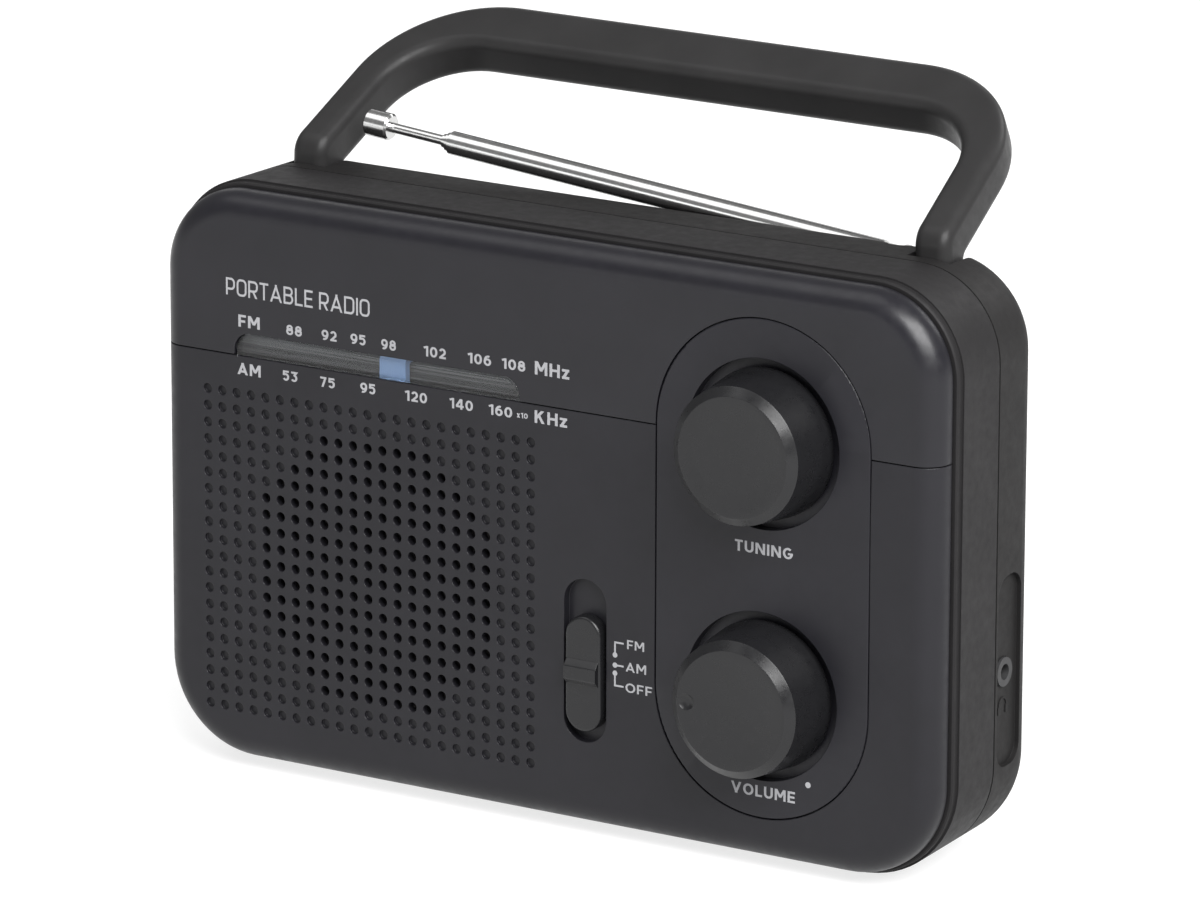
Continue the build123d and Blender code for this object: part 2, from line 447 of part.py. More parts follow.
sp += Pos(PIV_Y, PIV_Z) * Circle(5.0)
hn = xslab(sp, -100, 100) & prism
nn = Vector(0, -cos(th), sin(th))
ed = []
for e in hn.edges():
    t = e.tangent_at(0.5)
    if abs(t.dot(nn)) > 0.99 and e.geom_type == GeomType.LINE:
        continue
    if abs(t.X) > 0.98 and e.length < 60 and e.geom_type == GeomType.LINE:
        continue
    ed.append(e)
hn = fillet(ed, HANDLE_EDGE)
for s in (-1, 1):
    x0, x1 = sorted((s * 78.0, s * 88.5))
    hn -= xslab(Pos(PIV_Y, PIV_Z) * Circle(PIV_R + 0.06), x0, x1)
save(solo(hn), "handle")
pins = Part()
for s in (-1, 1):
    x0, x1 = sorted((s * 75.6, s * 89.9))
    pins += xcyl(PIV_Y, PIV_Z, PIV_R, x0, x1)
save(pins, "handle_pins")

# ---------------------------------------------------------------- telescopic aerial
ab = zcyl(ANT_X, ANT_Y, 1.6, 128.4, 131.9) + zcyl(ANT_X, ANT_Y, 2.8, 131.8, 132.5)
for y0, y1 in ((ANT_Y - 2.5, ANT_Y - 1.1), (ANT_Y + 1.1, ANT_Y + 2.5)):
    c = bx(ANT_X - 2.4, ANT_X + 2.4, y0, y1, 132.2, ANT_Z) + ycyl(ANT_X, ANT_Z, 2.4, y0, y1)
    ab += c
ab -= ycyl(ANT_X, ANT_Z, 1.0, 0, 40)
ab -= zcyl(ANT_X, ANT_Y, 0.8, 128.0, 131.6)
save(solo(ab), "antenna_base")
save(rev([(0, ANT_Y - 2.9), (1.5, ANT_Y - 2.9), (1.5, ANT_Y - 2.5), (0.96, ANT_Y - 2.5), (0.96, ANT_Y + 2.5), (1.5, ANT_Y + 2.5),
          (1.5, ANT_Y + 2.9), (0, ANT_Y + 2.9)], ANT_X, ANT_Z), "antenna_hinge_pin")
save(zcyl(ANT_X, ANT_Y, 2.5, 126.9, 128.4) + zcyl(ANT_X, ANT_Y, 0.8, 128.3, 131.6), "antenna_screw")

def along(s):                                       # aerial axis runs to the left and slightly up
    return Location((ANT_X, ANT_Y, ANT_Z), (0, -90 + ANT_UP, 0)) * Pos(0, 0, s)

def tube(ro, ri, s0, s1, lip=0.0):
    t = Pos(0, 0, (s0 + s1) / 2) * Cylinder(ro, s1 - s0)
    if lip:
        t -= Pos(0, 0, (s0 + s1 - lip) / 2) * Cylinder(ri, s1 - s0 - lip)
    return t

ax0 = Location((ANT_X, ANT_Y, ANT_Z), (0, -90 + ANT_UP, 0))
def zc(r, s0, s1):
    return Pos(0, 0, (s0 + s1) / 2) * Cylinder(r, s1 - s0)
t1 = zc(2.8, 5.0, 120.4) - zc(2.3, 8.0, 130)
t1 = t1 + (Pos(0, 0, 3.0) * Box(4.4, 2.0, 6.0)) + Rot(90, 0, 0) * Cylinder(2.2, 2.0)
t1 -= Rot(90, 0, 0) * Cylinder(1.02, 8.0)
save(solo(ax0 * t1), "antenna_tube_outer")
t2 = zc(2.22, 9.0, 121.5) - zc(1.75, 12.0, 130)
save(solo(ax0 * t2), "antenna_tube_middle")
t3 = zc(1.67, 13.0, 122.6) - zc(1.28, 16.0, 130)
save(solo(ax0 * t3), "antenna_tube_inner")
t4 = zc(1.2, 17.0, 138.0)
save(solo(ax0 * t4), "antenna_rod")
t5 = zc(3.2, 137.1, 143.5)
t5 = chamfer(t5.edges().filter_by(GeomType.CIRCLE), 0.5) - zc(1.2, 130, 138.0)
save(solo(ax0 * t5), "antenna_tip")

# ---------------------------------------------------------------- case screws and feet
cs = Part()
for sx, sz in SCREWS:
    cs += rev([(0, -5.0), (1.4, -5.0), (1.4, 12.0), (3.2, 12.0), (3.2, 13.0), (2.2, 14.2), (0, 14.4)], sx, sz) \
        - (Pos(sx, 14.2, sz) * Box(3.4, 1.4, 0.7)) - (Pos(sx, 14.2, sz) * Box(0.7, 1.4, 3.4))
save(cs, "case_screws")
ft = Part()
for fy0, fy1 in ((-9.0, 1.5), (11.0, 16.5)):       # one long skid under each housing
    f = bx(-76.0, 76.0, fy0, fy1, 0.0, 4.0)
    f = fillet(f.edges().filter_by(Axis.Z), 2.5)
    f = chamfer(f.faces().sort_by(Axis.Z)[0].edges(), 0.3)
    ft += f - env
save(ft, "feet")
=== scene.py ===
import bpy, bmesh, json, math
from mathutils import Vector, Matrix, Quaternion
from mathutils.geometry import delaunay_2d_cdt


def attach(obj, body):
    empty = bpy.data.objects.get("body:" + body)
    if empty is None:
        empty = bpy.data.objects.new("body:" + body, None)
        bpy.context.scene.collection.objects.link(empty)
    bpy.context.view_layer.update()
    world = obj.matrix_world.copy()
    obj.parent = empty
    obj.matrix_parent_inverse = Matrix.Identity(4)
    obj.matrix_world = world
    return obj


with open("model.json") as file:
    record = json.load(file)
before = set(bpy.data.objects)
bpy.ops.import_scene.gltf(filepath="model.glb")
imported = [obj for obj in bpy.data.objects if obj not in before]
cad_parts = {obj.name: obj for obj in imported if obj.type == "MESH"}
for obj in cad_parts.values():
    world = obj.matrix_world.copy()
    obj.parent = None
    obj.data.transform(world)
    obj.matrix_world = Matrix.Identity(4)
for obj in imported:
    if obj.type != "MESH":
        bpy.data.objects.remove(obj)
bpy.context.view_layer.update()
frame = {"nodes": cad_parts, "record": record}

scene = bpy.context.scene
nodes = frame["nodes"]
MM = 0.001

# ------------------------------------------------------------------ camera
right = Vector((0.852383428434, 0.522908746618, 0.002988919877))
down = Vector((0.143771314936, -0.228855608062, -0.962784981011))
ahead = Vector((-0.502764656607, 0.8210916839, -0.270252005909))
cam = bpy.data.cameras.new("view_camera")
cam.sensor_fit = 'HORIZONTAL'
cam.sensor_width = 36.0
cam.lens = 36.0 * 8394.712177667037 / 1200.0
cam.clip_start, cam.clip_end = 0.05, 60.0
cam_ob = bpy.data.objects.new("view_camera", cam)
m = Matrix((right, -down, -ahead)).transposed().to_4x4()
m.translation = Vector((0.965043, -1.571257, 0.602310))
cam_ob.matrix_world = m
scene.collection.objects.link(cam_ob)
scene.camera = cam_ob

# ------------------------------------------------------------------ node helpers
def new_mat(name):
    mt = bpy.data.materials.new(name)
    mt.use_nodes = True
    nt = mt.node_tree
    nt.nodes.clear()
    out = nt.nodes.new('ShaderNodeOutputMaterial')
    bs = nt.nodes.new('ShaderNodeBsdfPrincipled')
    nt.links.new(bs.outputs[0], out.inputs[0])
    return mt, nt, bs

def coords(nt, scale=(1, 1, 1), rot=(0, 0, 0)):
    tc = nt.nodes.new('ShaderNodeTexCoord')
    mp = nt.nodes.new('ShaderNodeMapping')
    mp.inputs['Scale'].default_value = scale
    mp.inputs['Rotation'].default_value = rot
    nt.links.new(tc.outputs['Object'], mp.inputs['Vector'])
    return mp.outputs[0]

def noise(nt, vec, scale, detail=2.0, rough=0.5):
    n = nt.nodes.new('ShaderNodeTexNoise')
    n.inputs['Scale'].default_value = scale
    n.inputs['Detail'].default_value = detail
    n.inputs['Roughness'].default_value = rough
    nt.links.new(vec, n.inputs['Vector'])
    return n.outputs['Fac']

def ramp(nt, fac, stops):
    r = nt.nodes.new('ShaderNodeValToRGB')
    e = r.color_ramp.elements
    while len(e) < len(stops):
        e.new(0.5)
    for el, (p, c) in zip(e, stops):
        el.position = p
        el.color = (c[0], c[1], c[2], 1.0)
    nt.links.new(fac, r.inputs[0])
    return r.outputs[0]

def span(nt, fac, a, b, lo=0.3, hi=0.7):
    r = nt.nodes.new('ShaderNodeMapRange')
    r.inputs['From Min'].default_value = lo
    r.inputs['From Max'].default_value = hi
    r.inputs['To Min'].default_value = a
    r.inputs['To Max'].default_value = b
    nt.links.new(fac, r.inputs['Value'])
    return r.outputs[0]

def bump(nt, height, strength, dist, normal=None):
    b = nt.nodes.new('ShaderNodeBump')
    b.inputs['Strength'].default_value = strength
    b.inputs['Distance'].default_value = dist
    nt.links.new(height, b.inputs['Height'])
    if normal is not None:
        nt.links.new(normal, b.inputs['Normal'])
    return b.outputs[0]

def edge_round(nt, radius):
    b = nt.nodes.new('ShaderNodeBevel')
    b.samples = 8
    b.inputs['Radius'].default_value = radius
    return b.outputs[0]

def moulded(name, col, rough, spec=0.5, grain=2600.0, grain_amt=0.35, grain_d=0.00003, spread=0.10,
            rspread=0.06, edge=0.0, wave=0.0, coat=0.0, coat_rough=0.3):
    """Moulded plastic: colour mottle, spark-eroded grain and uneven gloss."""
    mt, nt, bs = new_mat(name)
    v = coords(nt)
    big = noise(nt, v, 55.0, 4.0, 0.6)
    lo = [c * (1 - spread) for c in col]
    hi = [c * (1 + spread) for c in col]
    nt.links.new(ramp(nt, big, [(0.32, lo), (0.68, hi)]), bs.inputs['Base Color'])
    mid = noise(nt, v, 420.0, 3.0, 0.6)
    nt.links.new(span(nt, mid, rough - rspread, rough + rspread), bs.inputs['Roughness'])
    nrm = edge_round(nt, edge) if edge else None
    if wave:
        soft = noise(nt, v, 60.0, 1.0, 0.4)
        nrm = bump(nt, soft, wave, 0.0006, nrm)
    fine = noise(nt, v, grain, 2.0, 0.55)
    nrm = bump(nt, fine, grain_amt, grain_d, nrm)
    nt.links.new(nrm, bs.inputs['Normal'])
    bs.inputs['Specular IOR Level'].default_value = spec
    bs.inputs['IOR'].default_value = 1.5
    if coat:
        bs.inputs['Coat Weight'].default_value = coat
        bs.inputs['Coat Roughness'].default_value = coat_rough
    return mt

def metal(name, col, rough, streak=(1, 1, 1), scale=900.0, rspread=0.05, grain_amt=0.1, aniso=0.0, dark=0.12):
    mt, nt, bs = new_mat(name)
    v = coords(nt, streak)
    n = noise(nt, v, scale, 3.0, 0.6)
    nt.links.new(ramp(nt, n, [(0.3, [c * (1 - dark) for c in col]), (0.7, col)]), bs.inputs['Base Color'])
    nt.links.new(span(nt, n, max(0.02, rough - rspread), rough + rspread), bs.inputs['Roughness'])
    nt.links.new(bump(nt, n, grain_amt, 0.00001), bs.inputs['Normal'])
    bs.inputs['Metallic'].default_value = 1.0
    bs.inputs['Anisotropic'].default_value = aniso
    return mt

def fibre(name, col, rough, scale=900.0, amt=0.6, d=0.00008, spread=0.25, metallic=0.0):
    mt, nt, bs = new_mat(name)
    v = coords(nt)
    n = noise(nt, v, scale, 6.0, 0.7)
    nt.links.new(ramp(nt, n, [(0.25, [c * (1 - spread) for c in col]), (0.75, [c * (1 + spread) for c in col])]), bs.inputs['Base Color'])
    nt.links.new(span(nt, n, rough - 0.08, rough + 0.08), bs.inputs['Roughness'])
    nt.links.new(bump(nt, n, amt, d), bs.inputs['Normal'])
    bs.inputs['Metallic'].default_value = metallic
    return mt

# ------------------------------------------------------------------ finishes
FINISH = {
    'case_matt': moulded('case_matt', (0.0125, 0.0119, 0.0124), 0.56, 0.13, 2400, 0.5, edge=0.0002),
    'case_rear': moulded('case_rear', (0.0115, 0.0110, 0.0111), 0.56, 0.12, 2200, 0.55, edge=0.0002),
    'fascia_satin': moulded('fascia_satin', (0.0085, 0.0082, 0.0106), 0.35, 0.30, 3000, 0.22, wave=0.06, edge=0.0002),
    'grille_matt': moulded('grille_matt', (0.0088, 0.0085, 0.0108), 0.41, 0.26, 2600, 0.35, edge=0.00034),
    'panel_satin': moulded('panel_satin', (0.0090, 0.0087, 0.0114), 0.40, 0.27, 2800, 0.3, edge=0.0002),
    'knob_satin': moulded('knob_satin', (0.0070, 0.0070, 0.0078), 0.30, 0.36, 3400, 0.2, edge=0.0002),
    'handle_semigloss': moulded('handle_semigloss', (0.0180, 0.0176, 0.0178), 0.40, 0.13, 2600, 0.25, wave=0.03),
    'plastic_grey': moulded('plastic_grey', (0.19, 0.19, 0.20), 0.5, 0.5, 2000, 0.4),
    'plastic_white': moulded('plastic_white', (0.72, 0.71, 0.66), 0.45, 0.5, 2000, 0.3, spread=0.05),
    'chip_black': moulded('chip_black', (0.022, 0.022, 0.023), 0.55, 0.4, 2400, 0.5),
    'board_brown': moulded('board_brown', (0.30, 0.17, 0.06), 0.55, 0.4, 1500, 0.5, spread=0.2),
    'sleeve_dark': moulded('sleeve_dark', (0.04, 0.05, 0.15), 0.25, 0.5, 1500, 0.2),
    'rubber_foot': moulded('rubber_foot', (0.035, 0.035, 0.035), 0.8, 0.25, 1500, 0.7),
    'chrome': metal('chrome', (0.60, 0.60, 0.595), 0.20, (8, 1, 1), 500.0, 0.05, 0.05),
    'steel': metal('steel', (0.58, 0.58, 0.60), 0.32, (1, 1, 6), 900.0, 0.08, 0.2),
    'brass_plain': metal('brass_plain', (0.72, 0.52, 0.22), 0.28, (1, 8, 1), 900.0, 0.08, 0.2),
    'can_alu': metal('can_alu', (0.68, 0.68, 0.69), 0.35, (1, 1, 6), 700.0, 0.08, 0.2),
    'copper_wire': metal('copper_wire', (0.62, 0.27, 0.12), 0.3, (14, 1, 1), 260.0, 0.08, 0.6),
    'magnet': fibre('magnet', (0.07, 0.07, 0.075), 0.6),
    'ferrite': fibre('ferrite', (0.06, 0.055, 0.055), 0.55, 1400.0),
    'paper_black': fibre('paper_black', (0.045, 0.042, 0.04), 0.85, 1200.0, 0.8, 0.00012),
    'cord_waxed': fibre('cord_waxed', (0.62, 0.58, 0.45), 0.7, 4000.0, 0.8, 0.00008),
}

def lens_material():
    mt, nt, bs = new_mat('lens_clear')
    v = coords(nt, (6.0, 60.0, 700.0))
    n = noise(nt, v, 1.0, 3.0, 0.6)
    bs.inputs['Base Color'].default_value = (0.93, 0.95, 0.97, 1.0)
    nt.links.new(span(nt, n, 0.02, 0.08), bs.inputs['Roughness'])
    nt.links.new(bump(nt, n, 0.25, 0.00005), bs.inputs['Normal'])
    bs.inputs['Transmission Weight'].default_value = 1.0
    bs.inputs['IOR'].default_value = 1.36
    return mt
FINISH['lens_clear'] = lens_material()
FINISH['pointer_blue'] = moulded('pointer_blue', (0.175, 0.285, 0.48), 0.45, 0.4, 1800, 0.2, spread=0.05)

def ribbed_backplate_painted_streaks():
    mt, nt, bs = new_mat('dial_backplate_painted_streaks')
    v = coords(nt, (5.0, 40.0, 1100.0))
    n = noise(nt, v, 1.0, 4.0, 0.65)
    # painted reflection: the lighter streaks, up to 0.13, stand in for light glancing off the ribs behind the lens; the
    # 0.010 dark is the backplate's own black
    nt.links.new(ramp(nt, n, [(0.38, (0.010, 0.010, 0.011)), (0.50, (0.030, 0.030, 0.031)), (0.62, (0.13, 0.13, 0.132))]), bs.inputs['Base Color'])
    nt.links.new(span(nt, n, 0.28, 0.45), bs.inputs['Roughness'])
    nt.links.new(bump(nt, n, 0.6, 0.0002), bs.inputs['Normal'])
    bs.inputs['Specular IOR Level'].default_value = 0.3
    return mt
backplate = ribbed_backplate_painted_streaks()

slot_of = {s["node"]: s["material_slot"] for s in frame["record"]["subparts"]}
for name, ob in nodes.items():
    mt = FINISH[slot_of[name]]
    if name == 'dial_backplate':
        mt = backplate
    ob.data.materials.clear()
    ob.data.materials.append(mt)
    for p in ob.data.polygons:
        p.use_smooth = True
    w = ob.modifiers.new("weld", 'WELD')
    w.merge_threshold = 2e-6
    sp = ob.modifiers.new("crease", 'EDGE_SPLIT')
    sp.split_angle = math.radians(28)

# ------------------------------------------------------------------ a plain stroke alphabet for the printed scale
ARC = 7

def arc(cx, cy, rx, ry, a0, a1, n=None):
    n = n or max(3, int(abs(a1 - a0) / 90.0 * ARC) + 1)
    return [(cx + rx * math.cos(math.radians(a0 + (a1 - a0) * i / (n - 1))),
             cy + ry * math.sin(math.radians(a0 + (a1 - a0) * i / (n - 1)))) for i in range(n)]

def glyph(ch, w, sq):
    """Strokes (polylines, closed flag) and width for one letter; cap height 1, stroke w, sq > 0 gives square-shouldered letters."""
    h = w / 2
    T, B, M = 1 - h, h, 0.5
    def box_ring(x0, y0, x1, y1):
        rx = (x1 - x0) / 2 if not sq else min(sq, (x1 - x0) / 2)
        ry = (y1 - y0) / 2 if not sq else min(sq, (y1 - y0) / 2)
        if not sq:
            k = 0.92
            rx, ry = rx, ry * k
        return (arc(x1 - rx, y1 - ry, rx, ry, 90, 0) + arc(x1 - rx, y0 + ry, rx, ry, 0, -90)
                + arc(x0 + rx, y0 + ry, rx, ry, -90, -180) + arc(x0 + rx, y1 - ry, rx, ry, 180, 90))
    def bowl(x0, y0, x1, y1):
        ry = (y1 - y0) / 2 if not sq else min(sq, (y1 - y0) / 2)
        rx = min(ry * 1.02, (x1 - x0)) if not sq else sq
        return [(x0, y1)] + arc(x1 - rx, y1 - ry, rx, ry, 90, 0) + arc(x1 - rx, y0 + ry, rx, ry, 0, -90) + [(x0, y0)]
    S = []
    if ch == 'I':
        W = w; S = [([(h, 0), (h, 1)], 0)]
    elif ch == 'L':
        W = 0.56; S = [([(h, 1), (h, B), (W, B)], 0)]
    elif ch == 'E':
        W = 0.60; S = [([(W, T), (h, T), (h, B), (W, B)], 0), ([(h, M), (W * 0.93, M)], 0)]
    elif ch == 'F':
        W = 0.58; S = [([(W, T), (h, T), (h, 0)], 0), ([(h, M - 0.03), (W * 0.9, M - 0.03)], 0)]
    elif ch == 'T':
        W = 0.64; S = [([(0, T), (W, T)], 0), ([(W / 2, T), (W / 2, 0)], 0)]
    elif ch == 'H':
        W = 0.74; S = [([(h, 0), (h, 1)], 0), ([(W - h, 0), (W - h, 1)], 0), ([(h, M), (W - h, M)], 0)]
    elif ch == 'U':
        W = 0.72; r = W / 2 - h if not sq else sq
        S = [([(h, 1)] + arc(h + r, B + r, r, r, 180, 270) + arc(W - h - r, B + r, r, r, 270, 360) + [(W - h, 1)], 0)]
    elif ch in 'O':
        W = 0.84 if not sq else 0.72; S = [(box_ring(h, B, W - h, T), 1)]
    elif ch == '0':
        W = 0.68; S = [(box_ring(h, B, W - h, T), 1)]
    elif ch == 'D':
        W = 0.78 if not sq else 0.74
        S = [(bowl(h, B, W - h, T), 1)]
    elif ch == 'P':
        W = 0.66; S = [([(h, 0), (h, T)], 0), (bowl(h, 0.36, W - h, T), 1)]
    elif ch == 'R':
        W = 0.70; S = [([(h, 0), (h, T)], 0), (bowl(h, 0.40, W - h, T), 1), ([(W * 0.45, 0.45), (W - h * 0.9, -0.1)], 0)]
    elif ch == 'B':
        W = 0.70; S = [(bowl(h, B, W - h, M + 0.02), 1), (bowl(h, M + 0.02, W - h - 0.03, T), 1)]
    elif ch == 'A':
        W = 0.86; a = h * 1.15
        S = [([(a - 0.045, -0.1), (W / 2, 1.0 - 0.10)], 0), ([(W - a + 0.045, -0.1), (W / 2, 1.0 - 0.10)], 0),
             ([(W * 0.22, 0.27), (W * 0.78, 0.27)], 0), ([(W / 2 - w * 0.55, 1.0 - w / 2), (W / 2 + w * 0.55, 1.0 - w / 2)], 0)]
    elif ch == 'V':
        W = 0.84; a = h * 1.15
        S = [([(a - 0.045, 1.1), (W / 2, 0.10)], 0), ([(W - a + 0.045, 1.1), (W / 2, 0.10)], 0),
             ([(W / 2 - w * 0.55, w / 2), (W / 2 + w * 0.55, w / 2)], 0)]
    elif ch == 'M':
        W = 0.90
        S = [([(h, 0), (h, 1)], 0), ([(W - h, 0), (W - h, 1)], 0), ([(h * 1.0, 1.04), (W / 2, 0.32)], 0), ([(W - h * 1.0, 1.04), (W / 2, 0.32)], 0),
             ([(W / 2 - 0.02, 0.36), (W / 2 + 0.02, 0.36)], 0)]
    elif ch == 'N':
        W = 0.78; S = [([(h, 0), (h, 1)], 0), ([(W - h, 0), (W - h, 1)], 0), ([(h, 1.02), (W - h, -0.02)], 0)]
    elif ch == 'K':
        W = 0.76; S = [([(h, 0), (h, 1)], 0), ([(W - h * 1.2, 1.1), (h, 0.36)], 0), ([(W * 0.42, 0.58), (W - h, -0.1)], 0)]
    elif ch == 'G':
        W = 0.82; rx, ry = W / 2 - h, 0.5 - h
        S = [(arc(W / 2, M, rx, ry, 48, 330, 24) + [(W - h, 0.46)], 0), ([(W / 2, 0.46), (W, 0.46)], 0)]
    elif ch == 'z':
        W = 0.52; t = 0.74; S = [([(0, t - h), (W, t - h)], 0), ([(0, B), (W, B)], 0), ([(W - h * 1.2, t - h), (h * 1.2, B)], 0)]
    elif ch == 'x':
        W = 0.58; S = [([(h, -0.05), (W - h, 0.79)], 0), ([(h, 0.79), (W - h, -0.05)], 0)]
    elif ch == '1':
        W = 0.40; S = [([(W - h, 0), (W - h, 1)], 0), ([(W - h, 0.93), (0.0, 0.80)], 0)]
    elif ch == '2':
        W = 0.62; rx = W / 2 - h; ry = 0.27
        S = [(arc(W / 2, T - ry, rx, ry, 160, -28, 14) + [(h * 1.3, B + 0.02)], 0), ([(0.02, B), (W, B)], 0)]
    elif ch == '3':
        W = 0.62; rx = W / 2 - h; ry = 0.27
        S = [([(0.04, T), (W - h, T), (W * 0.50, 0.60)], 0), (arc(W / 2, B + ry, rx, ry, 100, -150, 18), 0)]
    elif ch == '4':
        W = 0.72; S = [([(W * 0.66, 1.02), (0.06, 0.29)], 0), ([(0.02, 0.28), (W, 0.28)], 0), ([(W * 0.70, 0), (W * 0.70, 1)], 0)]
    elif ch == '5':
        W = 0.62; rx = W / 2 - h; ry = 0.275
        S = [([(W * 0.94, T), (h * 1.3, T), (h * 1.15, 0.52)], 0), (arc(W / 2 - 0.01, B + ry, rx + 0.01, ry, 122, -148, 18), 0)]
    elif ch in '69':
        W = 0.66; rx = W / 2 - h; ry = 0.265
        ring = arc(W / 2, B + ry, rx, ry, 0, 360, 26)
        tail = [(h + 0.0, B + ry), (h + 0.03, 0.56), (W * 0.30, 0.82), (W * 0.62, T)]
        tail = [(h, B + ry)] + arc(W * 0.62, B + ry + 0.08, W * 0.62 - h, T - B - ry - 0.08, 178, 72, 12)
        S = [(ring, 1), (tail, 0)]
        if ch == '9':
            S = [([(W - x, 1 - y) for x, y in p], c) for p, c in S]
    elif ch == '7':
        W = 0.60; S = [([(0, T), (W - 0.02, T)], 0), ([(W - h * 1.15, T), (W * 0.30, -0.1)], 0)]
    elif ch == '8':
        W = 0.66; rx = W / 2 - h
        S = [(arc(W / 2, B + 0.25, rx, 0.25, 0, 360, 26), 1), (arc(W / 2, T - 0.215, rx - 0.035, 0.215, 0, 360, 26), 1)]
    else:
        W = 0.36
    return S, W

def clip(poly, axis, lim, keep_above):
    out = []
    for i in range(len(poly)):
        a, b = poly[i - 1], poly[i]
        ina = a[axis] >= lim if keep_above else a[axis] <= lim
        inb = b[axis] >= lim if keep_above else b[axis] <= lim
        if ina != inb:
            t = (lim - a[axis]) / (b[axis] - a[axis])
            out.append((a[0] + t * (b[0] - a[0]), a[1] + t * (b[1] - a[1])))
        if inb:
            out.append(b)
    return out

def strokes_to_polys(S, w):
    polys = []
    h = w / 2
    for pts, closed in S:
        n = len(pts)
        seg = [(pts[i], pts[(i + 1) % n]) for i in range(n if closed else n - 1)]
        for (x0, y0), (x1, y1) in seg:
            L = math.hypot(x1 - x0, y1 - y0)
            if L < 1e-6:
                continue
            dx, dy = (x1 - x0) / L, (y1 - y0) / L
            nx, ny = -dy * h, dx * h
            polys.append([(x0 + nx, y0 + ny), (x0 - nx, y0 - ny), (x1 - nx, y1 - ny), (x1 + nx, y1 + ny)])
        inner = range(n) if closed else range(1, n - 1)
        for i in inner:                                  # wedge at each corner of a stroke
            a, b, c = pts[i - 1], pts[i], pts[(i + 1) % n]
            v1 = (b[0] - a[0], b[1] - a[1]); v2 = (c[0] - b[0], c[1] - b[1])
            l1, l2 = math.hypot(*v1), math.hypot(*v2)
            if l1 < 1e-6 or l2 < 1e-6:
                continue
            v1 = (v1[0] / l1, v1[1] / l1); v2 = (v2[0] / l2, v2[1] / l2)
            cr = v1[0] * v2[1] - v1[1] * v2[0]
            if abs(cr) < 1e-4:
                continue
            s = -1.0 if cr > 0 else 1.0
            p1 = (b[0] - v1[1] * h * s, b[1] + v1[0] * h * s)
            p2 = (b[0] - v2[1] * h * s, b[1] + v2[0] * h * s)
            dt = 1 + v1[0] * v2[0] + v1[1] * v2[1]
            if dt > 0.35:
                mx, my = (-v1[1] - v2[1]) * h * s / dt, (v1[0] + v2[0]) * h * s / dt
                polys.append([b, p1, (b[0] + mx, b[1] + my), p2])
            else:
                polys.append([b, p1, p2])
    return polys

def text_polys(text, w, sq=0.0, gap=0.16):
    polys, x = [], 0.0
    for ch in text:
        if ch == ' ':
            x += 0.34
            continue
        S, W = glyph(ch, w, sq)
        for p in strokes_to_polys(S, w):
            for ax, lim, above in ((1, 0.0, True), (1, 1.0, False)):
                p = clip(p, ax, lim, above) if len(p) > 2 else p
            if len(p) > 2:
                polys.append([(q[0] + x, q[1]) for q in p])
        x += W + gap
    return polys, x - gap

def fitted(text, cx, cz, wid, hei, w=0.19, sq=0.0, gap=0.16):
    """Polygons of a label, centred at (cx, cz) with the given width and height, in millimetres."""
    polys, W = text_polys(text, w, sq, gap)
    low = all(c in 'x' for c in text)
    return [[(cx + (x - W / 2) * wid / W, cz + (y - 0.5) * hei) for x, y in p] for p in polys]

def union_solid(name, polys, place, thick):
    """One closed thin solid from overlapping polygons. place(x, z, out) gives a point; out runs away from the face."""
    verts, faces = [], []
    for p in polys:
        area = sum(p[i - 1][0] * p[i][1] - p[i][0] * p[i - 1][1] for i in range(len(p)))
        if abs(area) < 1e-7:
            continue
        q = p if area > 0 else p[::-1]
        k = len(verts)
        verts += [Vector(v) for v in q]
        faces.append(list(range(k, k + len(q))))
    vo, eo, fo, ov, oe, of_ = delaunay_2d_cdt(verts, [], faces, 0, 1e-5)
    fo = [f for f, src in zip(fo, of_) if src]           # only what a stroke covers, so counters stay open
    tris = [f if sum(vo[f[i - 1]][0] * vo[f[i]][1] - vo[f[i]][0] * vo[f[i - 1]][1] for i in range(len(f))) > 0 else f[::-1] for f in fo]
    used = {}
    for f in tris:
        for i in range(len(f)):
            e = (f[i - 1], f[i])
            used[e] = used.get(e, 0) + 1
    n = len(vo)
    pts = [place(v[0], v[1], 0.0) for v in vo] + [place(v[0], v[1], thick) for v in vo]
    fs = [tuple(i + n for i in f) for f in tris] + [tuple(reversed(f)) for f in tris]
    for (a, b) in used:
        if (b, a) not in used:
            fs.append((a, b, b + n, a + n))
    me = bpy.data.meshes.new(name)
    me.from_pydata([tuple(c * MM for c in p) for p in pts], [], fs)
    bm = bmesh.new(); bm.from_mesh(me)
    bmesh.ops.remove_doubles(bm, verts=bm.verts, dist=1e-9)
    loose = [v for v in bm.verts if not v.link_faces]
    bmesh.ops.delete(bm, geom=loose, context='VERTS')
    bmesh.ops.recalc_face_normals(bm, faces=bm.faces)
    bm.to_mesh(me); bm.free()
    ob = bpy.data.objects.new(name, me)
    scene.collection.objects.link(ob)
    return ob

def front(y):
    return lambda x, z, o: (x, y - o, z)

def disc(cx, cz, r, n=28):
    return [[(cx + r * math.cos(2 * math.pi * i / n), cz + r * math.sin(2 * math.pi * i / n)) for i in range(n)]]

def line(pts, w):
    return strokes_to_polys([(pts, 0)], w)

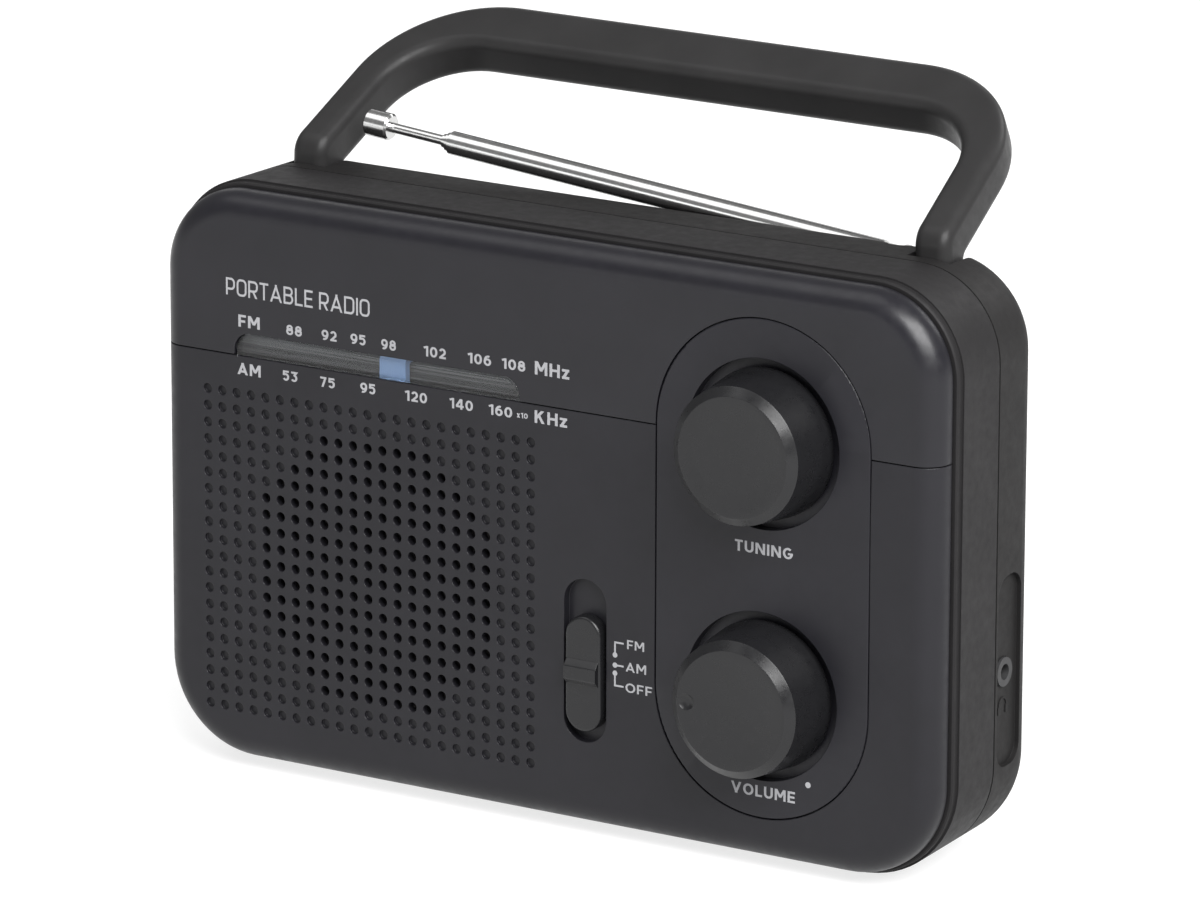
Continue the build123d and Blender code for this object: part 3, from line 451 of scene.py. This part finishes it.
FACE = -22.0
upper = []
for t, x, z, w_, h_ in (("FM", -78.3, 108.8, 5.9, 2.9), ("88", -65.9, 108.5, 4.3, 2.43), ("92", -56.3, 108.7, 4.1, 2.43), ("95", -48.4, 108.9, 4.1, 2.43),
                        ("98", -40.1, 108.8, 4.0, 2.43), ("102", -27.6, 108.8, 5.9, 2.45), ("106", -15.6, 108.9, 6.2, 2.45),
                        ("108", -6.5, 108.9, 6.2, 2.45), ("MHz", 3.7, 109.1, 9.1, 3.1)):
    upper += fitted(t, x, z, w_, h_)
upper += fitted("PORTABLE RADIO", -64.9, 116.6, 39.4, 4.1, w=0.125, sq=0.22, gap=0.13)
lower = []
for t, x, z, w_, h_ in (("AM", -78.4, 97.4, 6.4, 2.8), ("53", -67.1, 97.5, 4.0, 2.4), ("75", -56.8, 97.5, 4.0, 2.4), ("95", -45.8, 97.7, 4.1, 2.43),
                        ("120", -32.7, 97.6, 5.9, 2.43), ("140", -20.5, 97.6, 6.2, 2.43), ("160", -10.0, 97.6, 6.2, 2.43),
                        ("x10", -4.2, 97.4, 2.9, 1.25), ("KHz", 3.4, 97.7, 8.6, 2.95)):
    lower += fitted(t, x, z, w_, h_)
switch = []
for t, x, z, w_, h_ in (("FM", 26.0, 47.9, 4.5, 2.15), ("AM", 26.1, 42.6, 5.4, 2.2), ("OFF", 26.9, 37.7, 7.0, 2.2)):
    switch += fitted(t, x, z, w_, h_, w=0.16)
for z in (44.9, 42.5, 40.6):
    switch += disc(20.56, z, 0.62)
switch += line([(20.56, 44.9), (20.56, 47.9), (22.85, 47.9)], 0.42)
switch += line([(20.56, 42.5), (22.85, 42.5)], 0.42)
switch += line([(20.56, 40.6), (20.56, 37.7), (22.85, 37.7)], 0.42)
panel = fitted("TUNING", 59.3, 75.8, 15.0, 2.6, w=0.185) + fitted("VOLUME", 59.6, 19.1, 16.6, 2.66, w=0.185) + disc(71.25, 22.7, 0.7)

ink = moulded('print_grey', (0.27, 0.27, 0.282), 0.55, 0.4, 3000, 0.3, spread=0.06)
for name, polys in (("scale_print_upper", upper), ("scale_print_lower", lower), ("switch_print", switch), ("panel_print", panel)):
    ob = union_solid(name, polys, front(FACE), 0.03)
    ob.data.materials.append(ink)
    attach(ob, "case")

# raised headphone symbol in the side pocket
hx, hy, hz = 102.5, 10.6, 37.6
icon = strokes_to_polys([([(hy + 1.75 * math.cos(math.radians(a)), hz + 0.2 + 2.0 * math.sin(math.radians(a))) for a in range(-8, 189, 14)], 0)], 0.42)
for s in (-1, 1):
    icon += [[(hy + s * 1.75 - 0.5, hz - 1.5), (hy + s * 1.75 + 0.5, hz - 1.5), (hy + s * 1.75 + 0.5, hz + 0.3), (hy + s * 1.75 - 0.5, hz + 0.3)]]
ob = union_solid("headphone_symbol", icon, lambda a, b, o: (hx + o, a, b), 0.25)
ob.data.materials.append(FINISH['case_rear'])
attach(ob, "case")

# ------------------------------------------------------------------ stage and light
def plane(name, size, z):
    me = bpy.data.meshes.new(name)
    me.from_pydata([(-size, -size, z), (size, -size, z), (size, size, z), (-size, size, z)], [], [(0, 1, 2, 3)])
    o = bpy.data.objects.new(name, me)
    scene.collection.objects.link(o)
    return o

floor = plane("floor", 12.0, -0.0002)
mt, nt, bs = new_mat('floor_white')
v = coords(nt)
nt.links.new(ramp(nt, noise(nt, v, 3.0, 2.0), [(0.3, (0.29, 0.29, 0.29)), (0.7, (0.31, 0.31, 0.31))]), bs.inputs['Base Color'])
bs.inputs['Roughness'].default_value = 0.9
bs.inputs['Specular IOR Level'].default_value = 0.1
bs.inputs['Emission Color'].default_value = (1, 1, 1, 1)
bs.inputs['Emission Strength'].default_value = 0.78
floor.data.materials.append(mt)

world = bpy.data.worlds.new("studio")
scene.world = world
world.use_nodes = True
bg = world.node_tree.nodes.get('Background') or world.node_tree.nodes.new('ShaderNodeBackground')
bg.inputs['Color'].default_value = (1.0, 1.0, 1.0, 1.0)
bg.inputs['Strength'].default_value = 0.28

def area(name, loc, target, sx, sy, power, col=(1, 1, 1)):
    l = bpy.data.lights.new(name, 'AREA')
    l.shape = 'RECTANGLE'
    l.size, l.size_y = sx, sy
    l.energy = power
    l.color = col
    o = bpy.data.objects.new(name, l)
    o.location = loc
    o.rotation_mode = 'QUATERNION'
    o.rotation_quaternion = (Vector(target) - Vector(loc)).to_track_quat('-Z', 'Y')
    scene.collection.objects.link(o)
    return o

area("key", (1.42, -0.92, 1.62), (0.0, 0.0, 0.08), 2.0, 1.5, 145.0)
area("fill", (-0.95, -2.2, 0.38), (0.0, 0.0, 0.08), 0.8, 0.5, 3.0)
area("top", (-0.75, -0.5, 2.0), (0.0, 0.0, 0.1), 1.3, 1.3, 10.0)
area("back", (-1.1, 1.9, 0.95), (0.0, 0.0, 0.1), 1.4, 0.8, 3.0)
area("rear", (0.7, 2.2, 1.25), (0.0, 0.0, 0.1), 1.2, 0.9, 12.0)

scene.view_settings.view_transform = 'Standard'
scene.view_settings.look = 'None'
